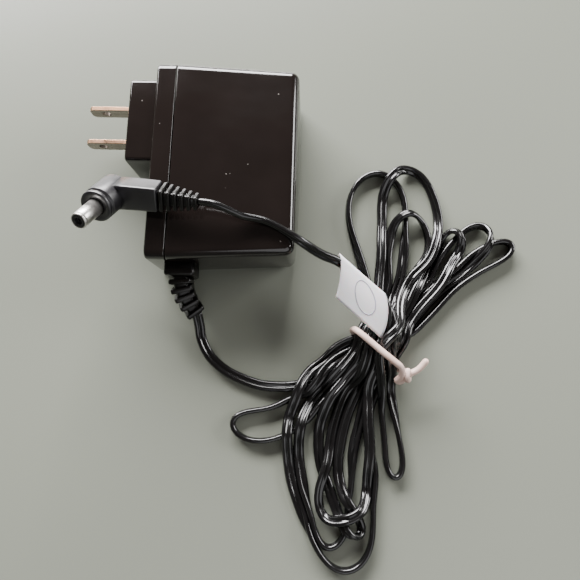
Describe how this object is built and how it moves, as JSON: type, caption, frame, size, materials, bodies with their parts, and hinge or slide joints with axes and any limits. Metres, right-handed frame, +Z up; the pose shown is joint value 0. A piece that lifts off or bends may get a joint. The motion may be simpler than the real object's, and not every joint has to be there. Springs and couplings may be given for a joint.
{
  "type": "plug-in power adapter",
  "caption": "Plug-in mains power adapter with two fixed flat blades, a tied bundle of flat twin cord and a right-angle barrel plug.",
  "frame": {"origin": "middle of the adapter's own box (casing, boss and blades, without the cord and what is on it), on the surface it lies on", "axes": "+Z up from the surface the casing lies on; -X the way the blades point; -Y the side the output cord leaves"},
  "size_m": [0.1579, 0.173, 0.0457],
  "materials": {
    "casing": "gloss",
    "blade_metal": "satin",
    "inner_plastic": "matte",
    "wire_red": "satin",
    "board": "satin",
    "fuse_body": "satin",
    "ferrite": "matte",
    "copper": "satin",
    "black_epoxy": "matte",
    "capacitor_blue": "gloss",
    "capacitor_green": "gloss",
    "sink": "satin",
    "tape": "satin",
    "tinned": "satin",
    "white_plastic": "satin",
    "disc_blue": "satin",
    "relief_black": "satin",
    "cord_black": "gloss",
    "cord_bundle": "gloss",
    "tie_plastic": "satin",
    "tag_paper": "satin",
    "plug_black": "satin",
    "nickel": "polished",
    "insulator": "satin"
  },
  "bodies": {
    "root": {"front_cover": "casing", "rear_shell": "casing", "line_blade": "blade_metal", "neutral_blade": "blade_metal", "blade_retainer": "inner_plastic", "mains_leads": "wire_red", "circuit_board": "board", "fuse": "fuse_body", "input_choke_core": "ferrite", "input_choke_winding": "copper", "bridge_rectifier": "black_epoxy", "input_capacitor": "capacitor_blue", "switch_transistor": "black_epoxy", "heat_sink": "sink", "transformer_core": "ferrite", "transformer_bobbin": "black_epoxy", "transformer_winding": "copper", "transformer_tape": "tape", "transformer_pins": "tinned", "optocoupler": "white_plastic", "safety_capacitor": "disc_blue", "output_diode": "black_epoxy", "output_capacitors": "capacitor_green", "output_choke": "ferrite", "reference_ic": "black_epoxy", "output_leads": "tinned", "strain_relief": "relief_black", "cord_from_case": "cord_black", "cord_hank": "cord_bundle", "cord_to_plug": "cord_black", "twist_tie": "tie_plastic", "cord_tag": "tag_paper", "plug_body": "plug_black", "plug_relief": "plug_black", "plug_sleeve": "nickel", "plug_insulator": "insulator", "plug_contact": "blade_metal"}
  },
  "joints": []
}
